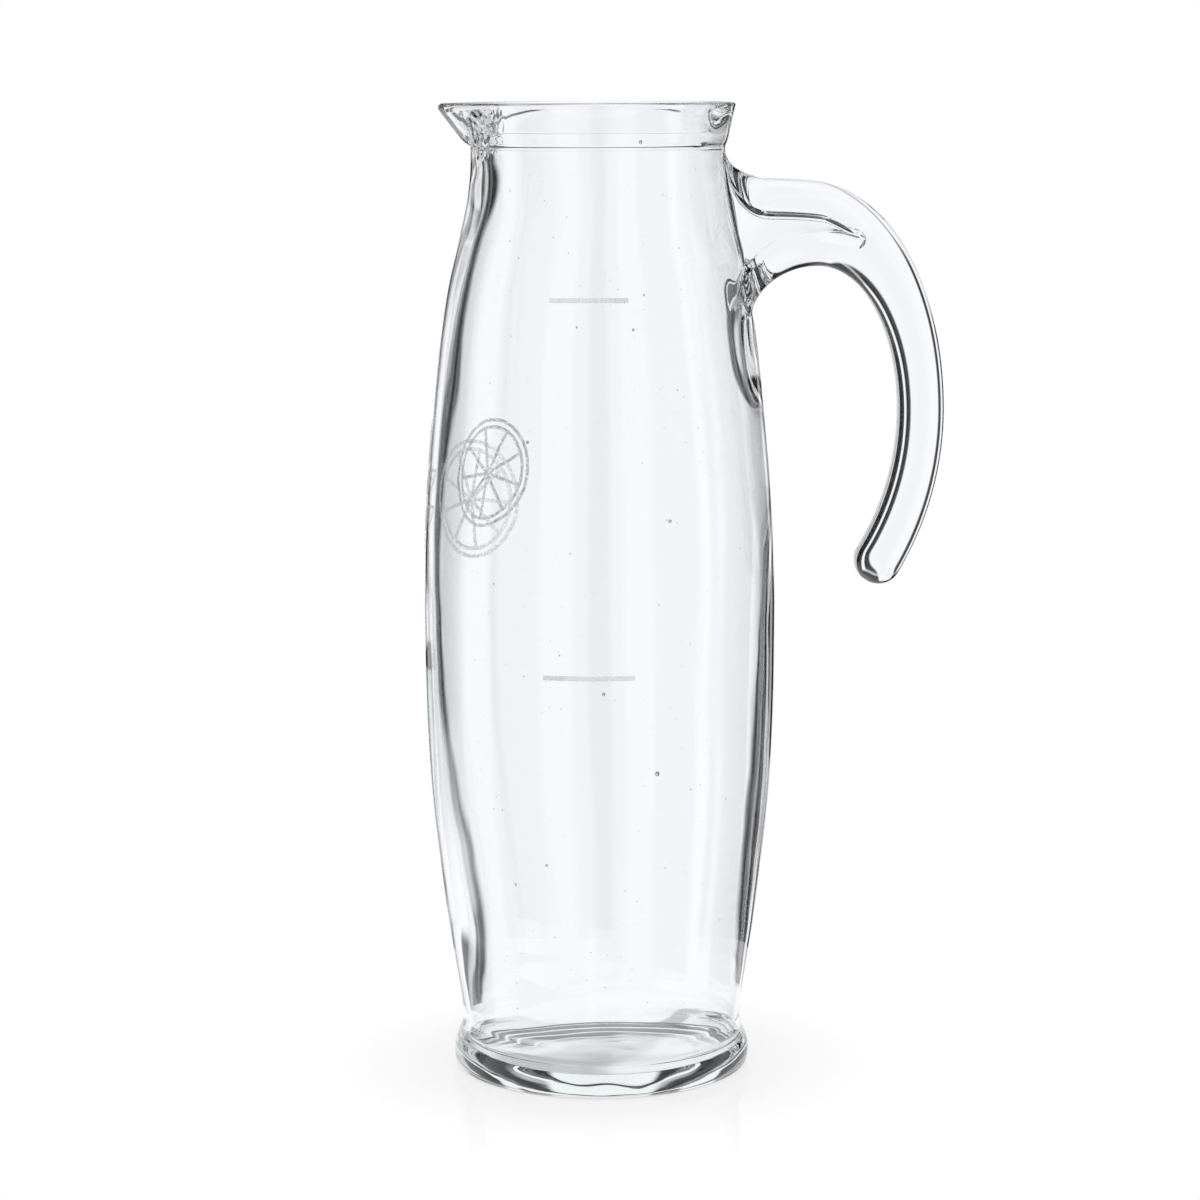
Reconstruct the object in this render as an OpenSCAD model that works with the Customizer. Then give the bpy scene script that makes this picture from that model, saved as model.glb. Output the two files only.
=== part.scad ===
// One-litre pitcher of clear glass: a blown barrel-shaped body with a banded rim and a pulled
// pour lip, and a solid hook handle that is welded on hot and hangs free at its lower end.
// The origin is the centre of the standing ring, +Z is up, the handle points along +X, the
// pour lip along -X, and the fill lines face -Y. All lengths are in millimetres.

/* [Body] */
// Height from the standing ring to the top of the rim
total_h = 254; // [225:1:290]
// Outer radius of the belly
belly_r = 46.1; // [42:0.1:52]
// Height of the widest place of the belly
belly_z = 124; // [100:1:140]
// Outer radius of the waist above the foot
waist_r = 36.9; // [32:0.1:40]
// Height of the waist
waist_z = 12.7; // [10:0.1:20]
// Outer radius of the foot
foot_r = 39.3; // [36:0.1:44]
// Height of the widest place of the foot
foot_z = 3.6; // [2:0.1:6]
// Outer radius of the neck
neck_r = 32.9; // [29:0.1:36]
// Distance from the top of the rim down to the narrowest place of the neck
neck_drop = 17; // [14:0.5:24]

/* [Glass] */
// Thickness of the wall at the neck
neck_wall = 3.5; // [2:0.1:4.5]
// Thickness of the wall at the belly
belly_wall = 2.9; // [2:0.1:5]
// Thickness of the wall between waist and belly, where the glass has settled
hip_wall = 4.6; // [3:0.1:7]
// Thickness of the wall at the foot
foot_wall = 3; // [2:0.1:5]
// Thickness of the floor
floor_t = 4.2; // [3:0.1:12]
// Radius of the hollow between floor and wall
floor_fillet = 5; // [3:0.5:12]
// Width of the standing ring
ring_w = 4; // [2:0.5:8]
// Rise of the underside inside the standing ring
push_up = 1.6; // [0.5:0.1:3]

/* [Rim and pour lip] */
// Height of the band round the rim
band_h = 10.9; // [7:0.1:13]
// Step by which the band stands out from the neck
band_step = 0.6; // [0.3:0.1:1.5]
// Outer radius of the rim, at the top of the band
rim_r = 35.9; // [34.5:0.1:39]
// Thickness of the rim at the top
rim_wall = 4.4; // [3:0.1:6]
// Rounding of the rim's edges
rim_round = 0.8; // [0.5:0.1:2]
// Distance from the axis to the tip of the pour lip
lip_reach = 42.3; // [39:0.1:50]
// Radius of the pour lip's tip
lip_tip_r = 1.5; // [1:0.1:2.5]
// Radius of the pour lip's keel, on the ledge
lip_keel_r = 9; // [4:0.5:14]
// Thickness of the glass in the pour lip
lip_wall = 2.6; // [1.5:0.1:3.5]

/* [Handle] */
// Distance from the axis to the outermost point of the handle
handle_reach = 89.9; // [80:0.5:105]
// Distance from the top of the rim down to the top of the handle
handle_drop = 18.7; // [16:0.1:26]
// Height of the arm that carries the grip
arm_h = 23.6; // [18:0.1:28]
// Distance from the axis at which the arm bends over into the grip
bend_x = 57; // [52:0.5:62]
// Distance from the top of the handle down to its outermost point
grip_drop = 61.3; // [50:0.1:75]
// Width of the grip in side view
grip_w = 12; // [9:0.1:15]
// Thickness of the grip across the pitcher
grip_t = 14; // [10:0.1:18]
// Radius of the tail's outer edge
tail_outer_r = 83; // [70:1:110]
// Radius of the tail's inner edge
tail_inner_r = 70; // [60:1:83]
// Angle through which the tail curves back to the body
tail_sweep = 31; // [20:1:38]
// Thickness of the handle across the pitcher at the weld
weld_t = 22; // [16:0.5:28]
// Length of the fillet that runs from the neck on to the arm
top_fillet_run = 11; // [6:0.5:14]
// Height of that fillet
top_fillet_rise = 6; // [3:0.1:7]
// Length of the arch under the arm, back to the body
root_run = 18; // [14:0.5:22]
// Height of that arch
root_rise = 15.7; // [10:0.1:20]

/* [Handle pockets] */
// Width of the rib above each pocket
outer_rib = 8.8; // [6:0.1:10]
// Width of the rib below each pocket
inner_rib = 6.2; // [4:0.1:8]
// Thickness of the web between the two pockets
web_t = 7; // [4:0.1:10]
// Distance from the axis to the end of the pockets
pocket_reach = 69; // [62:0.5:80]
// Radius of the round end of the pockets
pocket_end_r = 1.4; // [0.8:0.1:2.4]

/* [Prints] */
// Thickness of the fired-on ink
ink_t = 0.2; // [0.1:0.05:0.4]
// Height of the upper fill line, one litre
upper_line_z = 205.4; // [180:0.1:220]
// Height of the lower fill line, half a litre
lower_line_z = 111.1; // [90:0.1:130]
// Height of the stroke of a fill line
line_h = 1.2; // [0.8:0.1:2.5]
// Angle that a fill line covers round the body
line_sweep = 29; // [15:1:45]
// Angle of the fill lines' middle round the body
line_angle = 266.5; // [260:0.5:280]
// Height of the middle of the printed fruit
fruit_z = 155; // [145:0.5:165]
// Radius of a printed fruit slice
slice_r = 15; // [10:0.5:18]
// Width of the strokes of the printed fruit
stroke_w = 0.9; // [0.6:0.1:1.5]
// Number of segments in a printed fruit slice
slice_segments = 9; // [6:1:12]
// Angle from the pour lip to each printed fruit slice
slice_angle = 44; // [36:1:52]
// Height of the printed sprig between the slices
sprig_h = 34; // [24:0.5:40]
// Length of a leaf of the printed sprig
leaf_l = 13; // [8:0.5:16]

/* [Hidden] */
$fn = 96;

// How far cuts run past what they cut
overrun = 1;
// Steps between two points that a curve is drawn through
curve_steps = 3;
// Steps in a quarter of a rounding
round_steps = 4;

// Outline of the upper body: shares of the way down from neck to belly, and out to its radius
shoulder_shares = [
  [0, 0], [0.07, 0.07], [0.16, 0.24], [0.25, 0.43], [0.35, 0.58], [0.44, 0.68],
  [0.58, 0.8], [0.72, 0.9], [0.86, 0.965], [1, 1]
];
// Outline of the lower body: shares of the way up from waist to belly, and out to its radius
hip_shares = [
  [0, 0], [0.05, 0.05], [0.12, 0.19], [0.22, 0.38], [0.37, 0.61], [0.52, 0.81],
  [0.66, 0.92], [0.81, 0.98], [1, 1]
];
// Share of the band's height, from the ledge up, at which the bore starts to flare to the mouth
flare_share = 0.55;
// Place on the band's flare: shares of its height from the ledge up, and of the way out to the rim
band_mid_height_share = 0.45;
band_mid_radius_share = 0.42;
// The wall is thickest at this share of the way from waist up to belly
thick_at_share = 0.25;
// The wall is thinnest between these: shares from waist up to belly, and from belly up to neck
thin_from_share = 0.85;
thin_to_share = 0.3;
// Depth of the handle's root behind the neck's outline, as a share of the weld's thickness
root_depth_share = 0.33;
// Radii of a printed slice's pith line and of its hub, as shares of its radius
pith_share = 0.87;
hub_share = 0.09;
// Radius of a printed leaf's arcs, and length of its midrib, as shares of its length
leaf_arc_share = 0.72;
midrib_share = 0.7;
// Heights of the pairs of leaves up the stem
leaf_level_shares = [0.25, 0.7];

neck_z = total_h - neck_drop;
ledge_z = total_h - band_h;
ring_r = foot_r - ring_round();
ring_inner_r = ring_r - ring_w;
mouth_r = rim_r - rim_wall;
lip_tip_x = lip_reach - lip_tip_r;

handle_top = total_h - handle_drop;
grip_z = handle_top - grip_drop;
fillet_x = neck_r + top_fillet_run;
fillet_z = handle_top + top_fillet_rise;
arch_z = handle_top - arm_h - root_rise;

function ring_round() = foot_z / 3;
function mix(a, b, share) = a + (b - a) * share;

// A smooth curve through the points of a list, as a list of points
function spline_point(a, b, c, d, t) =
  0.5 * (2 * b + (c - a) * t + (2 * a - 5 * b + 4 * c - d) * t * t + (3 * b - a - 3 * c + d) * t * t * t);
function spline(pts) = [
  for (i = [0:len(pts) - 2])
    for (k = [0:curve_steps - 1])
      spline_point(
        pts[max(i - 1, 0)], pts[i], pts[i + 1], pts[min(i + 2, len(pts) - 1)],
        k / curve_steps
      ),
  pts[len(pts) - 1]
];
function reversed(pts) = [for (i = [len(pts) - 1:-1:0]) pts[i]];

// Wall thickness at a height
function wall(z) = lookup(z, [
  [foot_z, foot_wall], [waist_z, foot_wall],
  [mix(waist_z, belly_z, thick_at_share), hip_wall],
  [mix(waist_z, belly_z, thin_from_share), belly_wall],
  [mix(belly_z, neck_z, thin_to_share), belly_wall], [neck_z, neck_wall]
]);

// Outer outline of the body as [radius, height] points, from the standing ring to the ledge
heel = [
  for (k = [0:round_steps])
    [
      mix(ring_r, foot_r, sin(90 * k / round_steps)),
      foot_z * (1 - cos(90 * k / round_steps))
    ]
];
foot_flare = [
  for (k = [1:2 * round_steps])
    [
      mix(foot_r, waist_r, (1 - cos(90 * k / round_steps)) / 2),
      mix(foot_z, waist_z, k / (2 * round_steps))
    ]
];
hip = [for (s = spline(hip_shares)) [mix(waist_r, belly_r, s[1]), mix(waist_z, belly_z, s[0])]];
shoulder = [
  for (s = reversed(spline(shoulder_shares)))
    [mix(neck_r, belly_r, s[1]), mix(neck_z, belly_z, s[0])]
];
function tail_of(pts) = [for (i = [1:len(pts) - 1]) pts[i]];
side = concat(foot_flare, tail_of(hip), tail_of(shoulder));
outline = concat(heel, side, [[neck_r, ledge_z]]);

// Outer outline of the rim band and its rounded edge
band = concat(
  [
    [neck_r + band_step, ledge_z],
    [
      mix(neck_r + band_step, rim_r, band_mid_radius_share),
      mix(ledge_z, total_h, band_mid_height_share)
    ]
  ],
  [
    for (k = [0:round_steps])
      [
        rim_r - rim_round * (1 - cos(90 * k / round_steps)),
        total_h - rim_round * (1 - sin(90 * k / round_steps))
      ]
  ]
);

// Inner outline of the body, from the rim down to the floor
mouth = [
  for (k = [round_steps:-1:0])
    [
      mouth_r + rim_round * (1 - cos(90 * k / round_steps)),
      total_h - rim_round * (1 - sin(90 * k / round_steps))
    ]
];
wall_top_z = mix(ledge_z, total_h, flare_share);
wall_foot_z = floor_t + floor_fillet;
bore = [
  for (p = reversed(side))
    if (p[1] > wall_foot_z && p[1] <= neck_z)
      [p[0] - wall(p[1]), p[1]]
];
bore_foot_r = lookup(wall_foot_z, [for (p = outline) [p[1], p[0]]]) - wall(wall_foot_z);
hollow = [
  for (k = [0:2 * round_steps])
    [
      bore_foot_r - floor_fillet * (1 - cos(45 * k / round_steps)),
      wall_foot_z - floor_fillet * sin(45 * k / round_steps)
    ]
];
cavity = concat(mouth, [[neck_r - neck_wall, wall_top_z]], bore, hollow, [[0, floor_t]]);
underside = [
  for (k = [0:2 * round_steps])
    [
      ring_inner_r * k / (2 * round_steps),
      push_up * (1 - pow(k / (2 * round_steps), 2))
    ]
];

// Wedge that opens upwards, from a keel on the ledge to the rim and to the tip of the pour lip
module beak(keel_reach, keel_z, rim_disc_r, tip_x, top) {
  hull() {
    translate([-keel_reach + lip_keel_r, 0, keel_z])
      cylinder(r = lip_keel_r, h = rim_round, $fn = 32);
    translate([0, 0, top - rim_round])
      cylinder(r = rim_disc_r, h = rim_round, $fn = 32);
    translate([-tip_x, 0, top - lip_tip_r])
      cylinder(r = lip_tip_r, h = lip_tip_r, $fn = 32);
  }
}

// Everything on the pour lip's side of the rim
module lip_side() {
  lip_room = lip_reach + overrun;
  translate([-lip_room, -rim_r, ledge_z])
    cube([lip_room - mouth_r / 2, 2 * rim_r, band_h + overrun]);
}

module glass_body() {
  color([0.86, 0.9, 0.9, 0.45])
    difference() {
      union() {
        rotate_extrude()
          polygon(concat(underside, outline, band, [[0, total_h]]));
        intersection() {
          beak(neck_r + band_step, ledge_z, rim_r - rim_round, lip_tip_x, total_h);
          lip_side();
        }
      }
      rotate_extrude()
        polygon(concat([[0, total_h + overrun], [mouth_r + rim_round, total_h + overrun]], cavity));
      intersection() {
        beak(
          neck_r - lip_wall, ledge_z + lip_wall, mouth_r,
          lip_tip_x - lip_wall, total_h + overrun
        );
        lip_side();
      }
    }
}

// Outer surface of the body as one solid, which the handle is cut back to
module body_envelope() {
  rotate_extrude()
    polygon(concat([[0, 0]], outline, [[0, ledge_z]]));
}

// Quarter of an ellipse: height above its centre at a distance from its centre
function ellipse_z(x, half_w, half_h) = half_h * sqrt(max(0, 1 - pow(x / half_w, 2)));

// Height of the handle's upper edge over the arm, drawn in by a rib
function arm_top(x, rib) =
  x < fillet_x ? fillet_z - ellipse_z(fillet_x - x, top_fillet_run, top_fillet_rise + rib)
  : handle_top - rib;
// Height of the handle's lower edge under the arm, drawn in by a rib
function arm_bottom(x, rib) = arch_z + ellipse_z(bend_x - x, root_run + rib, root_rise + rib);

// Half axes of the two ellipses that the bend follows
bend_outer = [handle_reach - bend_x, grip_drop];
bend_inner = [handle_reach - grip_w - bend_x, grip_drop - arm_h];

// Steps of the handle in its arm, bend, tail and rounded end
arm_steps = 9;
bend_steps = 12;
tail_steps = 7;
end_steps = 4;
root_x = neck_r - weld_t * root_depth_share;

// Stations of the handle: [outer edge, inner edge, thickness] in side view
function arm_station(s) =
  let (
    reach = 1 - cos(90 * s),
    outer_x = mix(root_x, bend_x, reach),
    inner_x = mix(root_x + (bend_x - root_run - neck_r), bend_x, reach)
  )
  [
    [outer_x, arm_top(outer_x, 0)],
    [inner_x, arm_bottom(inner_x, 0)],
    mix(weld_t, grip_t, sin(90 * min(1, (outer_x - root_x) / (fillet_x - root_x))))
  ];
function bend_station(a) = [
  [bend_x + bend_outer[0] * sin(a), grip_z + bend_outer[1] * cos(a)],
  [bend_x + bend_inner[0] * sin(a), grip_z + bend_inner[1] * cos(a)],
  grip_t
];
function tail_station(a) = [
  [handle_reach - tail_outer_r * (1 - cos(a)), grip_z - tail_outer_r * sin(a)],
  [handle_reach - grip_w - tail_inner_r * (1 - cos(a)), grip_z - tail_inner_r * sin(a)],
  grip_t
];
// The rounded end shrinks the last station while it moves on along the tail
function end_station(a) =
  let (
    last = tail_station(tail_sweep),
    middle = (last[0] + last[1]) / 2,
    half = (last[0] - last[1]) / 2,
    onward = [half[1], -half[0]]
  )
  [
    middle + half * cos(a) + onward * sin(a),
    middle - half * cos(a) + onward * sin(a),
    grip_t * cos(a)
  ];
stations = concat(
  [for (k = [0:arm_steps - 1]) arm_station(k / arm_steps)],
  [for (k = [0:bend_steps - 1]) bend_station(90 * k / bend_steps)],
  [for (k = [0:tail_steps]) tail_station(tail_sweep * k / tail_steps)],
  [for (k = [1:end_steps - 1]) end_station(90 * k / end_steps)]
);

// Section of the handle: a rounded rectangle round the line between its two edges
section_sides = 28;
section_power = 0.62;
function rounded(v) = sign(v) * pow(abs(v), section_power);
function section(station) =
  let (
    middle = (station[0] + station[1]) / 2,
    half = (station[0] - station[1]) / 2,
    half_t = station[2] / 2
  )
  [
    for (k = [0:section_sides - 1])
      let (
        a = 360 * (k + 0.5) / section_sides,
        p = middle + half * rounded(cos(a))
      )
      [p[0], half_t * rounded(sin(a)), p[1]]
  ];

module handle_blank() {
  n = section_sides;
  rings = len(stations);
  tip = end_station(90)[0];
  points = concat([for (s = stations) each section(s)], [[tip[0], 0, tip[1]]]);
  faces = concat(
    [[for (k = [n - 1:-1:0]) k]],
    [
      for (r = [0:rings - 2])
        for (k = [0:n - 1])
          let (
            a = r * n + k,
            b = r * n + (k + 1) % n
          )
          each [[a, b, b + n], [a, b + n, a + n]]
    ],
    [for (k = [0:n - 1]) [(rings - 1) * n + k, (rings - 1) * n + (k + 1) % n, rings * n]]
  );
  polyhedron(points, faces);
}

// Side view of a pocket: it follows the handle's edges at the width of a rib, draws in over
// the bend towards its middle line and ends round
pocket_end_x = pocket_reach - pocket_end_r;
function closing(x) = x > bend_x ? pow((x - bend_x) / (pocket_end_x - bend_x), 2) : 0;
bend_top = [bend_outer[0] - outer_rib, bend_outer[1] - outer_rib];
bend_bottom = [bend_inner[0] + inner_rib, bend_inner[1] + inner_rib];
bend_middle = (bend_top + bend_bottom) / 2;
function bend_line(x, half) = grip_z + ellipse_z(x - bend_x, half[0], half[1]);
function pocket_top(x) =
  x < bend_x ? arm_top(x, outer_rib)
  : mix(bend_line(x, bend_top), bend_line(x, bend_middle) + pocket_end_r, closing(x));
function pocket_bottom(x) =
  x < bend_x ? arm_bottom(x, inner_rib)
  : mix(bend_line(x, bend_bottom), bend_line(x, bend_middle) - pocket_end_r, closing(x));
pocket_steps = 16;

module pocket_outline() {
  xs = [for (k = [0:pocket_steps]) mix(root_x, pocket_end_x, sin(90 * k / pocket_steps))];
  end_z = (pocket_top(pocket_end_x) + pocket_bottom(pocket_end_x)) / 2;
  polygon(concat([for (x = xs) [x, pocket_top(x)]], [for (x = reversed(xs)) [x, pocket_bottom(x)]]));
  translate([pocket_end_x, end_z])
    circle(d = pocket_top(pocket_end_x) - pocket_bottom(pocket_end_x), $fn = 32);
}

module handle() {
  color([0.84, 0.88, 0.89, 0.6])
    difference() {
      handle_blank();
      for (side_y = [-1, 1])
        translate([0, side_y * (web_t / 2 + weld_t / 2), 0])
          rotate([90, 0, 0])
            linear_extrude(height = weld_t, center = true)
              pocket_outline();
      body_envelope();
    }
}

// Radius of the body's outer surface at a height
function skin_r(z) = lookup(z, [for (p = outline) [p[1], p[0]]]);

// Band of ink on the body's outer surface between two heights
function ink_heights(z0, z1) =
  concat([z0], [for (p = outline) if (p[1] > z0 && p[1] < z1) p[1]], [z1]);
module ink_band(z0, z1, start, sweep) {
  zs = ink_heights(z0, z1);
  rotate([0, 0, start])
    rotate_extrude(angle = sweep)
      polygon(concat(
        [for (z = zs) [skin_r(z), z]],
        [for (z = reversed(zs)) [skin_r(z) + ink_t, z]]
      ));
}

module fill_line(z) {
  color([0.7, 0.71, 0.72])
    ink_band(z - line_h / 2, z + line_h / 2, line_angle - line_sweep / 2, line_sweep);
}
module upper_fill_line() {
  fill_line(upper_line_z);
}
module lower_fill_line() {
  fill_line(lower_line_z);
}

// Printed slice of citrus fruit: rind, pith line and segment walls
module slice_drawing() {
  pith_r = slice_r * pith_share;
  hub_r = slice_r * hub_share;
  difference() {
    circle(r = slice_r);
    circle(r = slice_r - stroke_w);
  }
  difference() {
    circle(r = pith_r);
    circle(r = pith_r - stroke_w);
  }
  for (k = [0:slice_segments - 1])
    rotate(360 * k / slice_segments)
      translate([0, -stroke_w / 2])
        square([pith_r - stroke_w / 2, stroke_w]);
  circle(r = hub_r);
}

// Printed leaf: the outline of two crossing arcs and a midrib
module leaf_drawing() {
  arc_r = leaf_arc_share * leaf_l;
  arc_y = sqrt(arc_r * arc_r - leaf_l * leaf_l / 4);
  difference() {
    intersection() {
      translate([leaf_l / 2, arc_y])
        circle(r = arc_r);
      translate([leaf_l / 2, -arc_y])
        circle(r = arc_r);
    }
    intersection() {
      translate([leaf_l / 2, arc_y])
        circle(r = arc_r - stroke_w);
      translate([leaf_l / 2, -arc_y])
        circle(r = arc_r - stroke_w);
    }
  }
  translate([0, -stroke_w / 2])
    square([midrib_share * leaf_l, stroke_w]);
}

// Printed sprig: a stem with pairs of leaves and one leaf at its top
module sprig_drawing() {
  stem_h = sprig_h - leaf_l;
  translate([-stroke_w / 2, -sprig_h / 2])
    square([stroke_w, stem_h + stroke_w]);
  for (level_share = leaf_level_shares)
    for (turn = [35, 145])
      translate([0, stem_h * level_share - sprig_h / 2])
        rotate(turn)
          leaf_drawing();
  translate([0, stem_h - sprig_h / 2])
    rotate(90)
      leaf_drawing();
}

// Sets a flat drawing upright in front of the body, facing out at an angle round it
module against_body(angle) {
  rotate([0, 0, angle])
    translate([belly_r / 2, 0, fruit_z])
      rotate([90, 0, 90])
        linear_extrude(height = belly_r)
          children();
}

module fruit_print() {
  print_h = max(2 * slice_r, sprig_h) + 2 * overrun;
  color([0.78, 0.79, 0.8])
    intersection() {
      ink_band(fruit_z - print_h / 2, fruit_z + print_h / 2, 180 - 2 * slice_angle, 4 * slice_angle);
      union() {
        against_body(180 - slice_angle)
          slice_drawing();
        against_body(180)
          sprig_drawing();
        against_body(180 + slice_angle)
          slice_drawing();
      }
    }
}

glass_body();
handle();
upper_fill_line();
lower_fill_line();
fruit_print();
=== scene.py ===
import math

import bmesh
import bpy
import numpy as np
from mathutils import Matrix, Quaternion, Vector
from mathutils.kdtree import KDTree


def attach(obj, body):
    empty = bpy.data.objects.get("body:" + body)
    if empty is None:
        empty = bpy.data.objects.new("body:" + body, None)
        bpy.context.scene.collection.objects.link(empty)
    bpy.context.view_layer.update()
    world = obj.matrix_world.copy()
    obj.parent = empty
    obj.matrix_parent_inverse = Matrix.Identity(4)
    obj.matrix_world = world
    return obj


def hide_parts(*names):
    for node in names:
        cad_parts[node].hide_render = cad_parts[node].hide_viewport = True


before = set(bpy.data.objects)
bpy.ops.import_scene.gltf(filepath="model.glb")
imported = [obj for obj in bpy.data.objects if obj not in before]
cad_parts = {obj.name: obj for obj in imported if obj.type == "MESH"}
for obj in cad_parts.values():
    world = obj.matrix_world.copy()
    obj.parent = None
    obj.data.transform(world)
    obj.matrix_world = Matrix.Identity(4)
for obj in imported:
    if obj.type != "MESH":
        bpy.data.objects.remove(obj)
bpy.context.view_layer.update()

MM = 0.001
SCENE = bpy.context.scene
TAU = 2 * math.pi

# Sizes in mm, heights counted from the table. They are the CAD model's, but for a thinner and
# rounder rim and a rounder end of the pockets
TOTAL_H = 254.0
BELLY_R, BELLY_Z = 46.1, 124.0
WAIST_R, WAIST_Z = 36.9, 12.7
FOOT_R, FOOT_Z = 39.3, 3.6
NECK_R, NECK_Z = 32.9, 237.0
FLOOR_T, FLOOR_FILLET = 4.2, 5.0
RING_W, PUSH_UP = 4.0, 1.6
BAND_H, BAND_STEP = 10.9, 0.6
RIM_R, RIM_WALL, RIM_ROUND = 35.9, 3.0, 0.8
LIP_REACH, LIP_TIP_WALL, LIP_WALL = 42.3, 3.4, 2.6
LEDGE_Z = TOTAL_H - BAND_H
RING_R = FOOT_R - FOOT_Z / 3
RING_INNER_R = RING_R - RING_W
MOUTH_R = RIM_R - RIM_WALL

HANDLE_REACH, HANDLE_TOP, ARM_H = 89.9, TOTAL_H - 18.7, 23.6
BEND_X, GRIP_Z = 57.0, TOTAL_H - 18.7 - 61.3
GRIP_W, GRIP_T, WELD_T = 12.0, 14.0, 22.0
TAIL_OUTER_R, TAIL_INNER_R, TAIL_SWEEP = 83.0, 70.0, math.radians(31)
FILLET_RUN, FILLET_RISE = 11.0, 6.0
ROOT_RUN, ROOT_RISE = 18.0, 15.7
OUTER_RIB, INNER_RIB, POCKET_REACH = 8.8, 6.2, 69.0
POCKET_TIP_R = 2.4

SHOULDER = [
    (0, 0), (0.07, 0.07), (0.16, 0.24), (0.25, 0.43), (0.35, 0.58), (0.44, 0.68),
    (0.58, 0.8), (0.72, 0.9), (0.86, 0.965), (1, 1),
]
HIP = [
    (0, 0), (0.05, 0.05), (0.12, 0.19), (0.22, 0.38), (0.37, 0.61), (0.52, 0.81),
    (0.66, 0.92), (0.81, 0.98), (1, 1),
]


def mix(a, b, share):
    return a + (b - a) * share


def ease(x):
    """Smooth step from 0 to 1."""
    x = np.clip(x, 0, 1)
    return x * x * (3 - 2 * x)


# Outline of the body
def spline(points, steps):
    """A smooth curve through the points, the same one as the CAD model's."""
    p = np.array(points, float)
    out = []
    for i in range(len(p) - 1):
        a, b, c, d = p[max(i - 1, 0)], p[i], p[i + 1], p[min(i + 2, len(p) - 1)]
        for k in range(steps):
            t = k / steps
            out.append(
                0.5 * (2 * b + (c - a) * t + (2 * a - 5 * b + 4 * c - d) * t ** 2
                       + (3 * b - a - 3 * c + d) * t ** 3)
            )
    out.append(p[-1])
    return np.array(out)


def side_table():
    """Heights and outer radii from the widest place of the foot up to the ledge."""
    k = np.linspace(0, 1, 40)
    draw_in = (1 - np.cos(np.pi * k)) / 2
    flare = np.stack([mix(FOOT_Z, WAIST_Z, k), mix(FOOT_R, WAIST_R, draw_in)], 1)
    hip = spline(HIP, 24)
    hip = np.stack([mix(WAIST_Z, BELLY_Z, hip[:, 0]), mix(WAIST_R, BELLY_R, hip[:, 1])], 1)
    shoulder = spline(SHOULDER, 24)[::-1]
    shoulder = np.stack(
        [mix(NECK_Z, BELLY_Z, shoulder[:, 0]), mix(NECK_R, BELLY_R, shoulder[:, 1])], 1
    )
    table = np.concatenate([flare[:-1], hip[:-1], shoulder, [[LEDGE_Z, NECK_R]]])
    z = np.arange(FOOT_Z, LEDGE_Z, 0.5)
    r = np.interp(z, table[:, 0], table[:, 1])
    # A soft average over a few millimetres takes the last unevenness out of the curve
    reach = 10
    weights = np.exp(-np.linspace(-2, 2, 2 * reach + 1) ** 2)
    padded = np.concatenate([2 * r[0] - r[reach:0:-1], r, 2 * r[-1] - r[-2:-reach - 2:-1]])
    smooth = np.convolve(padded, weights / weights.sum(), "valid")
    keep = ease((z - WAIST_Z) / 6)
    return z, mix(r, smooth, keep)


SIDE_Z, SIDE_R = side_table()


def outer_r(z):
    return np.interp(z, SIDE_Z, SIDE_R)


# Thickness of the wall by height, on the pour lip's side and on the handle's side
LIP_SIDE_WALL = [
    (0, 2.6), (15, 2.7), (21, 3.3), (29, 4.2), (38, 4.7), (48, 4.5), (62, 4.05), (80, 3.35),
    (92, 2.8), (102, 2.5), (115, 2.2), (127, 2.05), (138, 2.1), (155, 2.2), (176, 2.4),
    (187, 2.4), (197, 2.4), (208, 2.6), (219, 2.9), (228, 3.7), (233, 3.9), (240, 3.1),
    (254, 3.2),
]
HANDLE_SIDE_WALL = [
    (0, 1.9), (15, 1.3), (21, 1.6), (29, 2.1), (42, 2.4), (60, 2.6), (80, 2.75), (96, 2.9),
    (107, 2.8), (118, 2.6), (130, 2.3), (150, 2.1), (176, 2.3), (200, 2.7), (229, 3.0),
    (254, 3.2),
]
# What the hot handle added to the wall where it was set on, and drew from it below
PRESSED_WALL = [
    (0, 0), (118, 0), (130, -0.1), (141, -0.3), (152, -0.8), (164, -1.0), (173, -0.7),
    (181, 0.2), (188, 0.8), (195, 0.7), (202, 0.0), (209, -1.2), (217, -1.5), (229, -1.5),
    (243, -1.5), (249, -1.1), (254, -0.2),
]


def smooth_table(rows):
    """A lookup by height that follows the rows without their corners."""
    z = np.arange(0, 255, 1.0)
    t = np.interp(z, [r[0] for r in rows], [r[1] for r in rows])
    weights = np.exp(-np.linspace(-2, 2, 15) ** 2)
    padded = np.concatenate([np.full(7, t[0]), t, np.full(7, t[-1])])
    return z, np.convolve(padded, weights / weights.sum(), "valid")


LIP_SIDE = smooth_table(LIP_SIDE_WALL)
HANDLE_SIDE = smooth_table(HANDLE_SIDE_WALL)
PRESSED = smooth_table(PRESSED_WALL)


def wall(z, turn=math.pi / 2):
    """Thickness at a height and at an angle from the pour lip."""
    toward_lip = (1 + np.cos(turn)) / 2
    return mix(np.interp(z, *HANDLE_SIDE), np.interp(z, *LIP_SIDE), toward_lip)


# Share of the band's flare that curves outwards, where the bore starts to flare, and how fast
BAND_CURVE = 0.14
FLARE_Z = mix(LEDGE_Z, TOTAL_H, 0.55) - 3
FLARE_POWER = 1.2


def band_r(z):
    """Outer radius of the rim band."""
    t = (z - LEDGE_Z) / BAND_H
    return mix(NECK_R + BAND_STEP, RIM_R, mix(t, t ** 2, BAND_CURVE))


def bore_r(z):
    """Inner radius, from the hollow over the floor up to the rim."""
    t = np.clip((z - FLARE_Z) / (TOTAL_H - RIM_ROUND - FLARE_Z), 0, 1)
    straight = outer_r(np.minimum(z, NECK_Z)) - wall(z)
    return mix(straight, MOUTH_R, t ** FLARE_POWER)


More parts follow.
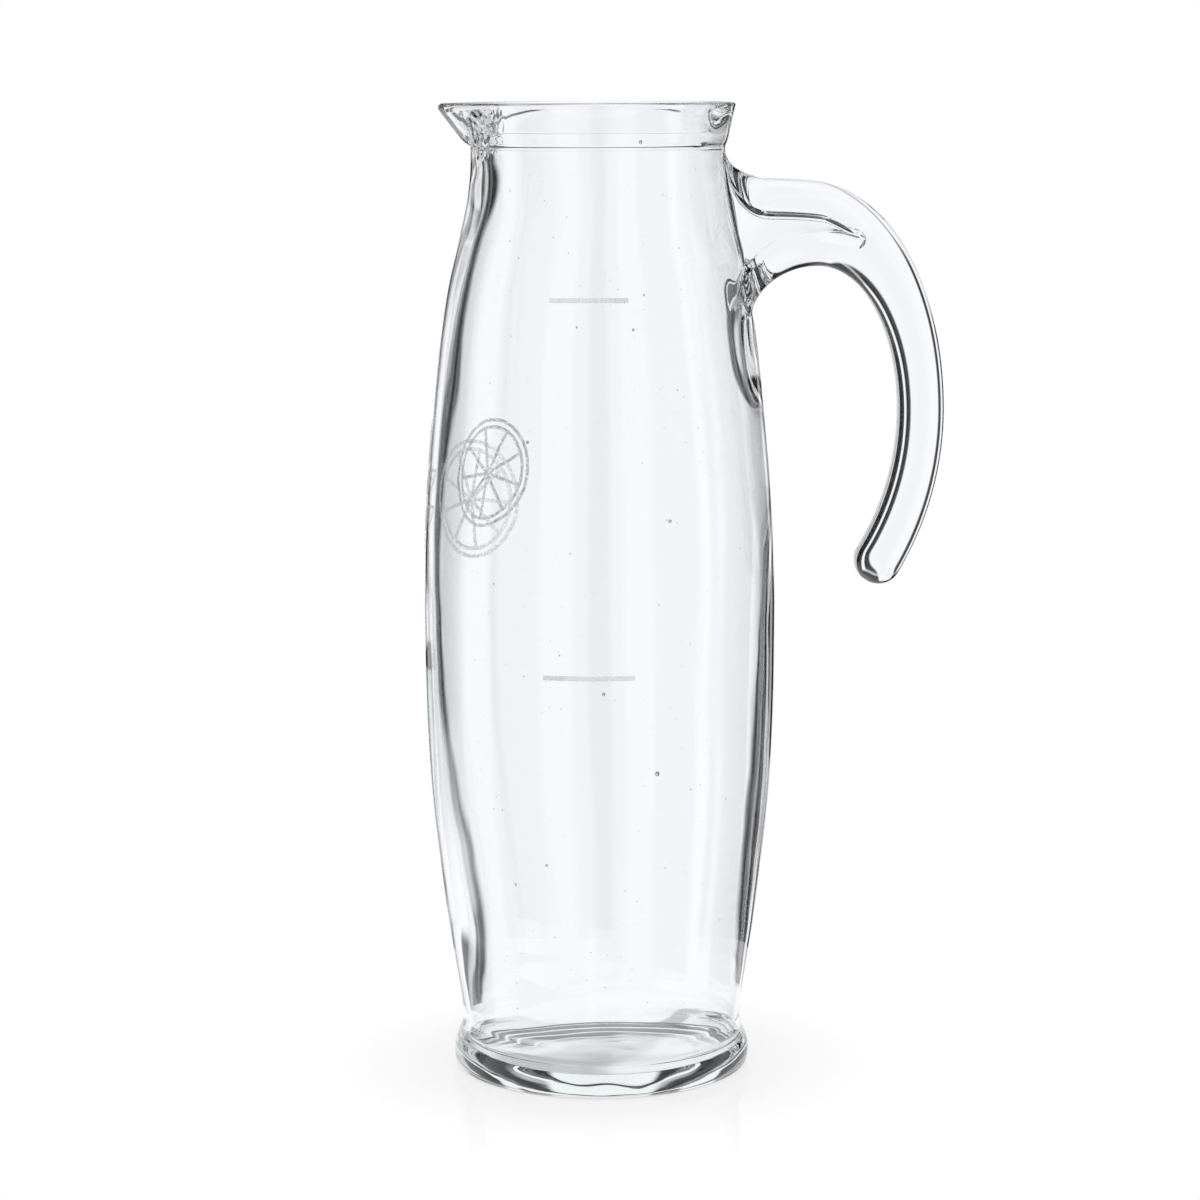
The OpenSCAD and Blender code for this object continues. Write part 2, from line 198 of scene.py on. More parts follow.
# Pour lip: bluntness of the tip and the soft bend of its flanks (radians), and how its line leans
LIP_BLUNT, LIP_SOFT = 0.035, 0.14
LIP_OUTER_POWER, LIP_INNER_POWER = 0.95, 0.9


def lip_factor(turn, radius, reach):
    """How far the rim is drawn out: the two tangents from the circle to the tip of the lip."""
    apex = np.arccos(np.clip(radius / np.maximum(reach, radius), 0, 1))
    a = np.sqrt(turn ** 2 + LIP_BLUNT ** 2) - LIP_BLUNT
    # The flanks leave the circle in a soft curve instead of at a corner
    soft = np.minimum(LIP_SOFT, apex + 1e-6)
    early = np.maximum(apex + soft / 2 - a, 0)
    gap = np.where(early < soft, early ** 2 / (2 * soft), early - soft / 2)
    return 1 / np.cos(gap)


def outer_at(turn, z):
    r = band_r(z)
    rise = np.clip((z - LEDGE_Z) / BAND_H, 0, 1)
    reach = mix(NECK_R + BAND_STEP + 0.3, LIP_REACH, rise ** LIP_OUTER_POWER)
    return r * lip_factor(turn, r, reach)


def inner_at(turn, z):
    r = bore_r(z)
    low = LEDGE_Z + LIP_WALL
    rise = np.clip((z - low) / (TOTAL_H - low), 0, 1)
    reach = mix(bore_r(low), LIP_REACH - LIP_TIP_WALL, rise ** LIP_INNER_POWER)
    return r * lip_factor(turn, r, reach)


# Glass body as one closed grid
TURNS = 336
LIP_CROWD = 0.72


def turns():
    """Angles from the pour lip, closer together near it."""
    u = np.arange(TURNS) / TURNS * TAU - math.pi
    return u - LIP_CROWD * np.sin(u)


def ripple(angle, z, parts):
    """Slow uneven waves of hand-worked glass."""
    total = 0
    for amount, around, up, start in parts:
        total = total + amount * np.sin(around * angle + up * z + start)
    return total


# Waves of the surfaces: height in mm, waves round the body, radians per mm of height, start
OUTER_WAVES = [
    (0.020, 3, 0.021, 0.4), (0.012, 5, -0.037, 2.1), (0.007, 9, 0.083, 4.0), (0.004, 2, 0.31, 1.0),
]
INNER_WAVES = [
    (0.11, 2, 0.019, 1.3), (0.06, 3, -0.034, 0.2), (0.04, 5, 0.052, 2.6), (0.022, 8, -0.07, 5.1),
    (0.010, 4, 0.21, 3.3), (0.006, 1, 0.42, 0.7), (0.012, 13, 0.045, 0.9),
]
FLOOR_WAVES = [
    (0.05, 1, 0.17, 0.3), (0.05, 2, -0.23, 1.9), (0.03, 3, 0.31, 4.4), (0.02, 5, 0.55, 2.2),
]
FLOOR_DOME = 0.5
# Share of the inner waves that is left in the band, and half the width of the pressed strip
BAND_CALM = 0.6
PRESS_HALF_W = 13.0
# Larger rounding at the tip of the lip, and the marks that the tool left where it was pulled
LIP_ROUND, LIP_ROUND_TURN = 0.7, 0.16
LIP_MARKS_TURN = 0.5
LIP_MARKS = [
    (0.07, 19, 0.9, 0.4), (0.06, 31, -1.6, 2.0), (0.05, 43, 2.3, 4.1), (0.04, 67, -0.7, 1.2),
]


def pressed(z, side):
    """What the handle added to the wall, by height and by way round the belly from the handle."""
    return np.interp(z, *PRESSED) * np.exp(-(side / PRESS_HALF_W) ** 2)


def body_grid():
    turn = turns()[:, None]
    angle = turn + math.pi
    rows_r, rows_z = [], []

    def add(r, z):
        rows_r.append(np.broadcast_to(r, (TURNS, 1)) if np.ndim(r) < 2 else r)
        rows_z.append(np.broadcast_to(z, (TURNS, 1)) if np.ndim(z) < 2 else z)

    # Underside: a shallow dome inside the standing ring
    for r in np.linspace(0.06, 1, 20) * RING_INNER_R:
        add(r, PUSH_UP * (1 - (r / RING_INNER_R) ** 2))
    add(RING_INNER_R + 1.0, 0.0)
    add(RING_R - 0.6, 0.0)
    for k in np.linspace(0.03, 1, 12):
        q = math.pi / 2 * k
        add(mix(RING_R, FOOT_R, math.sin(q)), FOOT_Z * (1 - math.cos(q)))
    # Outside wall
    step_z = 0.35
    low_rows = np.arange(FOOT_Z + 0.6, 30, 0.7)
    high_rows = np.arange(30, LEDGE_Z - step_z, 1.0)
    for z in np.concatenate([low_rows, high_rows]):
        waves = ripple(angle, z, OUTER_WAVES) * ease((z - 6) / 20) * ease((LEDGE_Z - z) / 20)
        add(outer_r(z) + waves, z)
    # Ledge and band
    for share in (0.0, 0.25, 0.5, 0.75):
        z = LEDGE_Z - step_z + 0.6 * share
        add(np.full((TURNS, 1), outer_r(LEDGE_Z - step_z) + BAND_STEP * float(ease(share))), z)
    top = TOTAL_H - RIM_ROUND
    edge = outer_at(turn, top)
    brink = inner_at(turn, top)
    rounding = RIM_ROUND + LIP_ROUND * np.exp(-(turn / LIP_ROUND_TURN) ** 2)
    rounding = np.minimum(rounding, 0.42 * (edge - brink))
    for share in np.linspace(0.03, 1, 16):
        z = mix(LEDGE_Z + 0.25, TOTAL_H, share) - rounding * share
        add(outer_at(turn, z), z)
    # Rim, round over both edges
    edge = rows_r[-1]
    high = inner_at(turn, TOTAL_H - rounding)
    for q in np.linspace(0, math.pi / 2, 8)[1:]:
        add(edge - rounding * (1 - math.cos(q)), TOTAL_H - rounding * (1 - math.sin(q)))
    for share in (0.33, 0.67):
        add(mix(edge - rounding, high + rounding, share), TOTAL_H)
    for q in np.linspace(math.pi / 2, 0, 8):
        add(high + rounding * (1 - math.cos(q)), TOTAL_H - rounding * (1 - math.sin(q)))
    # Inside of the band, the bore and the hollow over the floor
    side = (angle - TAU * np.round(angle / TAU)) * BELLY_R
    for share in np.linspace(0, 1, 26)[1:]:
        z = mix(TOTAL_H, LEDGE_Z - 2, share) - rounding * (1 - share)
        marks = ripple(angle, z, LIP_MARKS) * np.exp(-(turn / LIP_MARKS_TURN) ** 4)
        marks = marks * ease(share / 0.1)
        press = pressed(z, side) * ease(share / 0.3)
        waves = ripple(angle, z, INNER_WAVES) * BAND_CALM * share
        add(inner_at(turn, z) + waves + marks - press, z)
    foot = FLOOR_T + FLOOR_FILLET
    for z in np.concatenate([np.arange(LEDGE_Z - 3, 16, -1.0), np.arange(16, foot, -0.5)]):
        fade = ease((z - foot) / 25) * mix(BAND_CALM, 1, ease((LEDGE_Z - z) / 20))
        waves = ripple(angle, z, INNER_WAVES) * fade
        add(outer_r(z) - wall(z, turn) + waves - pressed(z, side), z)
    foot_r = outer_r(foot) - wall(foot, turn)
    for q in np.linspace(0, math.pi / 2, 16):
        add(foot_r - FLOOR_FILLET * (1 - math.cos(q)), foot - FLOOR_FILLET * math.sin(q))
    flat_r = foot_r - FLOOR_FILLET
    for share in np.linspace(1, 0.04, 30)[1:]:
        uneven = ripple(angle, share * 30, FLOOR_WAVES) * (1 - share ** 4) * ease(share / 0.3)
        add(flat_r * share, FLOOR_T + FLOOR_DOME * (1 - share ** 2) + uneven)
    r = np.concatenate(rows_r, 1)
    z = np.concatenate(rows_z, 1)
    x = -r * np.cos(turn)
    y = -r * np.sin(turn)
    # Turn 0 is the pour lip at -X, and the angle about the axis grows with the turn
    return np.stack([x, y, z], 2)


def grid_mesh(name, grid, first, last):
    """A closed mesh from a grid of rings with a point that closes each end."""
    n, m = grid.shape[:2]
    points = np.concatenate([grid.reshape(-1, 3), [first], [last]]) * MM
    faces = []
    for j in range(m - 1):
        for i in range(n):
            k = (i + 1) % n
            faces.append((i * m + j, k * m + j, k * m + j + 1, i * m + j + 1))
    a, b = n * m, n * m + 1
    for i in range(n):
        k = (i + 1) % n
        faces.append((i * m, a, k * m))
        faces.append((i * m + m - 1, k * m + m - 1, b))
    mesh = bpy.data.meshes.new(name)
    mesh.from_pydata(points.tolist(), [], faces)
    mesh.validate()
    outward(mesh)
    return mesh


def outward(mesh):
    bm = bmesh.new()
    bm.from_mesh(mesh)
    bmesh.ops.recalc_face_normals(bm, faces=bm.faces)
    if bm.calc_volume(signed=True) < 0:
        bmesh.ops.reverse_faces(bm, faces=bm.faces)
    bm.to_mesh(mesh)
    bm.free()


def link(name, mesh):
    obj = bpy.data.objects.new(name, mesh)
    SCENE.collection.objects.link(obj)
    return obj


# Handle
def ellipse(x, half_w, half_h):
    return half_h * np.sqrt(np.maximum(0, 1 - (x / half_w) ** 2))


FILLET_X = NECK_R + FILLET_RUN
FILLET_Z = HANDLE_TOP + FILLET_RISE
ARCH_Z = HANDLE_TOP - ARM_H - ROOT_RISE
BEND_OUTER = (HANDLE_REACH - BEND_X, HANDLE_TOP - GRIP_Z)
BEND_INNER = (HANDLE_REACH - GRIP_W - BEND_X, HANDLE_TOP - GRIP_Z - ARM_H)
ROOT_X = NECK_R - WELD_T * 0.33


def arm_top(x, rib=0.0):
    fillet = FILLET_Z - ellipse(FILLET_X - x, FILLET_RUN, FILLET_RISE + rib)
    return np.where(x < FILLET_X, fillet, HANDLE_TOP - rib)


def arm_bottom(x, rib=0.0):
    return ARCH_Z + ellipse(BEND_X - x, ROOT_RUN + rib, ROOT_RISE + rib)


BEND_TOP = (BEND_OUTER[0] - OUTER_RIB, BEND_OUTER[1] - OUTER_RIB)
BEND_BOTTOM = (BEND_INNER[0] + INNER_RIB, BEND_INNER[1] + INNER_RIB)
BEND_MIDDLE = ((BEND_TOP[0] + BEND_BOTTOM[0]) / 2, (BEND_TOP[1] + BEND_BOTTOM[1]) / 2)


def bend_line(x, half):
    return GRIP_Z + ellipse(x - BEND_X, *half)


def closing(x):
    """How far a pocket has drawn in towards its round end."""
    return (np.clip(x - BEND_X, 0, None) / (POCKET_REACH - POCKET_TIP_R - BEND_X)) ** 3


def pocket_top(x):
    bend = mix(bend_line(x, BEND_TOP), bend_line(x, BEND_MIDDLE) + POCKET_TIP_R, closing(x))
    return np.where(x < BEND_X, arm_top(x, OUTER_RIB), bend) - sag(x) * (1 - closing(x))


def pocket_bottom(x):
    bend = mix(bend_line(x, BEND_BOTTOM), bend_line(x, BEND_MIDDLE) - POCKET_TIP_R, closing(x))
    return np.where(x < BEND_X, arm_bottom(x, INNER_RIB), bend)


# How far the arm's upper edge hangs, by distance from the axis
SAG = [
    (34, 0), (44, 0.9), (50, 1.0), (56, 1.4), (62, 2.3), (67, 2.7), (73, 2.6), (80, 2.1),
    (86, 1.6), (91, 0),
]


def sag(x):
    """How far the arm's upper edge hangs below a straight arm and an even bend."""
    steps = np.linspace(-5, 5, 11)
    weights = np.exp(-(steps / 3) ** 2)
    near = np.interp(np.add.outer(x, steps), [p[0] for p in SAG], [p[1] for p in SAG])
    return (near * weights).sum(-1) / weights.sum()


def handle_stations():
    """Outer edge, inner edge and thickness of the handle along its length."""
    rows = []
    steps = 64
    for k in range(steps):
        reach = 1 - math.cos(math.pi / 2 * k / steps)
        xo = mix(ROOT_X, BEND_X, reach)
        xi = mix(ROOT_X + BEND_X - ROOT_RUN - NECK_R, BEND_X, reach)
        rows.append(((xo, float(arm_top(xo) - sag(xo))), (xi, float(arm_bottom(xi))), GRIP_T))
    steps = 70
    for k in range(steps):
        a = math.pi / 2 * k / steps
        xo = BEND_X + BEND_OUTER[0] * math.sin(a)
        rows.append((
            (xo, GRIP_Z + BEND_OUTER[1] * math.cos(a) - float(sag(xo))),
            (BEND_X + BEND_INNER[0] * math.sin(a), GRIP_Z + BEND_INNER[1] * math.cos(a)),
            GRIP_T,
        ))
    steps = 40

    def tail(a):
        outer_x = HANDLE_REACH - TAIL_OUTER_R * (1 - math.cos(a))
        inner_x = HANDLE_REACH - GRIP_W - TAIL_INNER_R * (1 - math.cos(a))
        outer = (outer_x, GRIP_Z - TAIL_OUTER_R * math.sin(a))
        return outer, (inner_x, GRIP_Z - TAIL_INNER_R * math.sin(a)), GRIP_T

    for k in range(steps + 1):
        rows.append(tail(TAIL_SWEEP * k / steps))
    outer, inner = np.array(rows[-1][0]), np.array(rows[-1][1])
    middle, half = (outer + inner) / 2, (outer - inner) / 2
    onward = np.array([half[1], -half[0]])
    steps = 14
    for k in range(1, steps):
        a = math.pi / 2 * k / steps
        rows.append((
            middle + half * math.cos(a) + onward * math.sin(a),
            middle - half * math.cos(a) + onward * math.sin(a),
            GRIP_T * math.cos(a),
        ))
    tip = middle + onward
    return rows, tip


# Radius of the flare that spreads the ribs and the underside of the arm on to the body, and
# the distance at which it ends
RIB_CURVE, RIB_EDGE = 7.4, 5.0
ARCH_CURVE, ARCH_EDGE = 10.0, 7.6
# Height at which the one spread gives way to the other, and over how much
SPREAD_Z, SPREAD_RUN = 205, 8
WEB_CURVE = 0.5


def spread(away, curve, edge):
    """How much a flank spreads at a distance from the body: an arc that is cut off at the edge."""
    def arc(d):
        return curve - np.sqrt(curve ** 2 - (curve - d) ** 2)
    return arc(np.clip(away, 0.3, edge)) - arc(edge)


def rib_spread(x, z):
    low = spread(x - outer_r(z), ARCH_CURVE, ARCH_EDGE)
    high = spread(x - outer_r(z), RIB_CURVE, RIB_EDGE)
    return mix(low, high, ease((z - SPREAD_Z) / SPREAD_RUN))


# Points round a section, and how square it is along the inside of the grip and elsewhere
SECTION_SIDES = 112
SECTION_POWER, OUTER_POWER = 0.6, 0.52


def handle_grid():
    rows, tip = handle_stations()
    outer = np.array([r[0] for r in rows])[:, None, :]
    inner = np.array([r[1] for r in rows])[:, None, :]
    thick = np.array([r[2] for r in rows])[:, None]
    a = TAU * (np.arange(SECTION_SIDES) + 0.5) / SECTION_SIDES
    # Points spread evenly round the section
    fine = np.linspace(0, TAU, 4001)
    fx = np.sign(np.cos(fine)) * np.abs(np.cos(fine)) ** SECTION_POWER
    fy = np.sign(np.sin(fine)) * np.abs(np.sin(fine)) ** SECTION_POWER
    run = np.concatenate([[0], np.cumsum(np.hypot(np.diff(fx), np.diff(fy)))])
    at = np.interp(a / TAU * run[-1], run, fine)
    # The edges are rounder along the inside of the grip than under the arm
    down = ease((HANDLE_TOP - ARM_H - inner[:, :, 1]) / 30)
    power = np.where(np.cos(at) > 0, OUTER_POWER, mix(OUTER_POWER, SECTION_POWER, down))
    across = np.sign(np.cos(at)) * np.abs(np.cos(at)) ** power
    deep = np.sign(np.sin(at)) * np.abs(np.sin(at)) ** power
    mid, half = (outer + inner) / 2, (outer - inner) / 2
    point = mid + half * across[:, :, None]
    x, z = point[:, :, 0], point[:, :, 1]
    y = thick / 2 * deep
    # The root spreads where it was pressed on to the wall
    y = y + np.sign(y) * rib_spread(x, z) * np.abs(deep)
    grid = np.stack([x, y, z], 2).transpose(1, 0, 2)
    root = (outer[0, 0] + inner[0, 0]) / 2
    return grid, (root[0], 0.0, root[1]), (tip[0], 0.0, tip[1])


# Depth of the pockets along the arm and in the bend, and how far their steep wall leans
POCKET_DEPTH = (2.5, 2.3)
POCKET_WALL_SLOPE = 0.54
# The steep wall from the rib down: share of the run and share of the depth still to go
POCKET_WALL = (
    (0.0, 1.0), (0.15, 0.83), (0.3, 0.66), (0.45, 0.5), (0.6, 0.34), (0.8, 0.17), (1.05, 0.05),
)
# How far out the cutting shape reaches, well clear of the flank
POCKET_CLEAR = 18.0


def pocket_grid(side):
    """What a side pocket takes away: a steep wall under the upper rib, and a floor that rises
    from the web to the lower rib and spreads towards the body."""
    end_x = POCKET_REACH - POCKET_TIP_R
    run = np.linspace(0, 1, 110)
    x = mix(NECK_R - 3, end_x, run)
    top, low = pocket_top(x), pocket_bottom(x)
    q = np.linspace(0, 0.96, 9)[1:] * math.pi / 2
    middle, half = (top[-1] + low[-1]) / 2, (top[-1] - low[-1]) / 2
    x = np.concatenate([x, end_x + POCKET_TIP_R * np.sin(q)])
    top = np.concatenate([top, middle + half * np.cos(q)])
    low = np.concatenate([low, middle - half * np.cos(q)])
    tall = (top - low)[:, None]
    x = x[:, None]
    along = ease((x - BEND_X + 16) / 26)
    depth = mix(POCKET_DEPTH[0], POCKET_DEPTH[1], along) * ease(tall / 3 + 0.45)
    deep = GRIP_T / 2 - depth
    down = [np.broadcast_to(-5.0, x.shape)]
    out = [np.broadcast_to(POCKET_CLEAR, x.shape)]
    for lean, rise in POCKET_WALL:
        down.append(np.minimum(lean * POCKET_WALL_SLOPE * depth, tall * 0.35 * lean))
        out.append(deep + rise * depth)
    start = down[-1] * 1.4
    for share in np.linspace(0, 1, 16):
        down.append(mix(start, tall, share))
        out.append(mix(deep, GRIP_T / 2 + 0.05, share ** 1.15))
    down.append(tall + 0.8)
    out.append(np.broadcast_to(POCKET_CLEAR, x.shape))
    down, out = np.concatenate(down, 1), np.concatenate(out, 1)
    z = top[:, None] - down
    x = np.broadcast_to(x, z.shape)
    flat = (out < POCKET_CLEAR - 1) * 1.0
    out = out + flat * spread(x - outer_r(z), WEB_CURVE, WEB_CURVE)
    # Rows run round the section, columns along the pocket
    grid = np.stack([x, side * out, z], 2).transpose(1, 0, 2)
    first, last = grid[:, 0].mean(0), grid[:, -1].mean(0)
    return grid, tuple(first), tuple(last)


def envelope_grid(inset):
    """The body's outside drawn in, to cut the handle's root with."""
    ang = np.arange(160) / 160 * TAU
    z = np.concatenate([[4.0], np.arange(6, LEDGE_Z, 1.5), [LEDGE_Z + 6]])
    r = outer_r(np.minimum(z, LEDGE_Z)) - inset
    x, y = np.cos(ang)[:, None] * r, np.sin(ang)[:, None] * r
    return np.stack([x, y, np.broadcast_to(z, x.shape)], 2), (0, 0, z[0]), (0, 0, z[-1])


def combine(obj, other, operation):
    tool = obj.modifiers.new(operation.lower(), "BOOLEAN")
    tool.object = other
    tool.operation = operation
    tool.solver = "MANIFOLD"
    depsgraph = bpy.context.evaluated_depsgraph_get()
    mesh = bpy.data.meshes.new_from_object(obj.evaluated_get(depsgraph))
    obj.modifiers.clear()
    obj.data = mesh
    bpy.data.objects.remove(other)


# Where the weld lies, in mm, and how sharp a crease in it is rounded
WELD_X, WELD_HALF_W, WELD_Z = 20, 20, (180, LEDGE_Z + 3)
WELD_CREASE = math.radians(12)
# How near the body's surface a crease has to be, and how deep below it points still move
WELD_ON_WALL, WELD_IN_WALL = 0.4, 0.9
# How far round a crease points move, how strongly, and in how many passes
WELD_REACH, WELD_PULL, WELD_PASSES = 2.4, 0.5, 14


def soften_weld(mesh):
    """Rounds the inside corner where the handle meets the body."""
    bm = bmesh.new()
    bm.from_mesh(mesh)
    bmesh.ops.triangulate(bm, faces=[f for f in bm.faces if len(f.verts) > 4])
    bm.verts.ensure_lookup_table()
    crease = []
    for edge in bm.edges:
        if len(edge.link_faces) != 2:
            continue
        c = (edge.verts[0].co + edge.verts[1].co) / 2 / MM
        if c.x < WELD_X or abs(c.y) > WELD_HALF_W or not WELD_Z[0] < c.z < WELD_Z[1]:
            continue
        off_wall = abs(math.hypot(c.x, c.y) - float(outer_r(c.z)))
        if off_wall < WELD_ON_WALL and edge.calc_face_angle(0) > WELD_CREASE:
            crease.extend(edge.verts)
    crease = list(set(crease))
    tree = KDTree(len(crease))
    for i, v in enumerate(crease):
        tree.insert(v.co, i)
    tree.balance()
    reach = WELD_REACH * MM
    near = []
    for v in bm.verts:
        x, y, z = v.co / MM
        if x < WELD_X or abs(y) > WELD_HALF_W + 4 or z < WELD_Z[0] - 10:
            continue
        if math.hypot(x, y) < float(outer_r(z)) - WELD_IN_WALL:
            continue
        d = tree.find(v.co)[2]
        if d < reach:
            near.append((v, WELD_PULL * (1 - d / reach)))
    for _ in range(WELD_PASSES):
        moved = []
        for v, weight in near:
            ring = [e.other_vert(v).co for e in v.link_edges]
            mean = sum(ring, Vector()) / len(ring)
            moved.append(v.co.lerp(mean, weight))
        for (v, _weight), co in zip(near, moved):
            v.co = co
    bm.to_mesh(mesh)
    bm.free()


# Seed bubbles: how many fine ones, between which heights, their middle radius and the largest
SEEDS, SEED_LOW_Z, SEED_HIGH_Z = 900, 16, 238
SEED_R, SEED_MAX_R = 0.085, 0.22
# The larger ones: height, angle and radius
LARGE_SEEDS = [
    (86.0, -1.24, 0.55), (244.5, -1.23, 0.42), (107.0, -1.55, 0.4), (170.0, -2.0, 0.36),
    (62.0, -1.9, 0.34), (198.0, -1.35, 0.3), (140.0, 1.1, 0.4), (40.0, 2.3, 0.38),
]


def bubble_mesh(rng):
    """Small closed hollows inside the wall. Their faces look inwards, at the air in them."""
    ball = bmesh.new()
    bmesh.ops.create_icosphere(ball, subdivisions=2, radius=1.0)
    unit = np.array([v.co[:] for v in ball.verts])
    faces = np.array([[v.index for v in f.verts] for f in ball.faces])[:, ::-1]
    ball.free()
    spots = []
    for _ in range(SEEDS):
        z = rng.uniform(SEED_LOW_Z, SEED_HIGH_Z)
        angle = rng.uniform(0, TAU)
        r = min(rng.lognormal(math.log(SEED_R), 0.35), SEED_MAX_R)
        spots.append((z, angle, r, rng.uniform(0.3, 0.7), rng.uniform(1.0, 1.5)))
    for z, angle, r in LARGE_SEEDS:
        spots.append((z, angle, r, 0.5, 1.25))
    points, polys = [], []
    for i, (z, angle, r, depth, tall) in enumerate(spots):
        # Depth is a share of the wall, and tall is the height of a seed against its width
        radius = float(outer_r(min(z, LEDGE_Z)) - wall(z) * depth)
        at = np.array([radius * math.cos(angle), radius * math.sin(angle), z])
        points.append(at + unit * r * np.array([1, 1, tall]))
        polys.append(faces + i * len(unit))
    mesh = bpy.data.meshes.new("seeds")
    mesh.from_pydata((np.concatenate(points) * MM).tolist(), [], np.concatenate(polys).tolist())
    return mesh


def join_meshes(name, first, second):
    bm = bmesh.new()
    bm.from_mesh(first)
    bm.from_mesh(second)
    mesh = bpy.data.meshes.new(name)
    bm.to_mesh(mesh)
    bm.free()
    return mesh


# Materials
def material(name):
    mat = bpy.data.materials.new(name)
    mat.use_nodes = True
    mat.node_tree.nodes.clear()
    return mat, mat.node_tree


def node(tree, kind, values=None, **settings):
    n = tree.nodes.new(kind)
    for key, value in settings.items():
        setattr(n, key, value)
    for key, value in (values or {}).items():
        n.inputs[key].default_value = value
    return n


def math_node(tree, operation, a, b=None):
    n = node(tree, "ShaderNodeMath", operation=operation)
    for i, v in enumerate((a, b)):
        if v is None:
            continue
        if isinstance(v, (int, float)):
            n.inputs[i].default_value = v
        else:
            tree.links.new(v, n.inputs[i])
    return n.outputs[0]


def glass_material():
    mat, tree = material("clear_glass")
    out = node(tree, "ShaderNodeOutputMaterial")
    shader = node(tree, "ShaderNodeBsdfPrincipled", {
        "Base Color": (1.0, 1.0, 1.0, 1), "Roughness": 0.0, "IOR": 1.5, "Transmission Weight": 1.0,
    })
    coords = node(tree, "ShaderNodeTexCoord")
    stretch = node(tree, "ShaderNodeMapping", {"Scale": (1.0, 1.0, 0.45)})
    tree.links.new(coords.outputs["Object"], stretch.inputs["Vector"])
    cords = node(tree, "ShaderNodeTexNoise", {"Scale": 60.0, "Detail": 2.0, "Roughness": 0.45})
    tree.links.new(stretch.outputs["Vector"], cords.inputs["Vector"])
    bump = node(tree, "ShaderNodeBump", {"Strength": 0.10, "Distance": 0.0006})
    tree.links.new(cords.outputs["Fac"], bump.inputs["Height"])
    tree.links.new(bump.outputs["Normal"], shader.inputs["Normal"])
    soak = node(tree, "ShaderNodeVolumeAbsorption", {
        "Color": (0.80, 0.86, 0.83, 1), "Density": 6.0,
    })
    tree.links.new(shader.outputs["BSDF"], out.inputs["Surface"])
    tree.links.new(soak.outputs["Volume"], out.inputs["Volume"])
    return mat


def ink_material(name, tone, thin, scale, gaps):
    """Fired-on ink: matt, uneven, and thin enough that some light comes through."""
    mat, tree = material(name)
    out = node(tree, "ShaderNodeOutputMaterial")
    shader = node(tree, "ShaderNodeBsdfPrincipled", {"Roughness": 0.62, "IOR": 1.45})
    coords = node(tree, "ShaderNodeTexCoord")
    grain = node(tree, "ShaderNodeTexNoise", {"Scale": scale, "Detail": 4.0, "Roughness": 0.6})
    tree.links.new(coords.outputs["Object"], grain.inputs["Vector"])
    ramp = node(tree, "ShaderNodeValToRGB")
    ramp.color_ramp.elements[0].position = 0.35
    ramp.color_ramp.elements[0].color = (*[c * 0.82 for c in tone], 1)
    ramp.color_ramp.elements[1].position = 0.65
    ramp.color_ramp.elements[1].color = (*tone, 1)
    tree.links.new(grain.outputs["Fac"], ramp.inputs["Fac"])
    tree.links.new(ramp.outputs["Color"], shader.inputs["Base Color"])
    cover = node(tree, "ShaderNodeMapRange", {
        "From Min": 0.45, "From Max": 0.55, "To Min": (1 - thin) * (1 - gaps), "To Max": 1 - thin,
    })
    tree.links.new(grain.outputs["Fac"], cover.inputs["Value"])
    tree.links.new(cover.outputs["Result"], shader.inputs["Alpha"])
    bump = node(tree, "ShaderNodeBump", {"Strength": 0.25, "Distance": 0.0001})
    tree.links.new(grain.outputs["Fac"], bump.inputs["Height"])
    tree.links.new(bump.outputs["Normal"], shader.inputs["Normal"])
    tree.links.new(shader.outputs["BSDF"], out.inputs["Surface"])
    return mat


# Studio seen through the glass
# Panels round the object: azimuth of the middle, reach to either side (falling and growing
# azimuth), lowest and highest elevation, softness of the edge, tone, and where it is seen: on
# the floor, away from it, or both
DARK_TONE = 0.012
PANELS = [
    (90, 29, 38, -40, 14, 1.5, 1.0, "away"),
    (90, 22, 22, -40, 12, 1.5, DARK_TONE, "away"),
    (90, 13, 13, -91, 27, 1.5, 1.0, "away"),
    (15, 20, 20, -40, 50, 3.0, 0.6, "away"),
    (90, 36, 38, -91, 91, 3.0, 1.0, "floor"),
    (180, 13, 13, -40, 40, 3.0, 1.0, "both"),
    (135, 30, 30, -91, -17, 3.0, 1.0, "away"),
    (313, 36, 36, -40, 60, 3.0, 0.9, "both"),
    (241, 11, 11, -40, 60, 3.0, 0.6, "both"),
]
ELEVATION_SOFT = 3.0
# Lowest elevation, softness of the edge and tone of the one large light overhead
CEILING_LOW, CEILING_SOFT, CEILING_TONE = 64, 6.0, 0.6


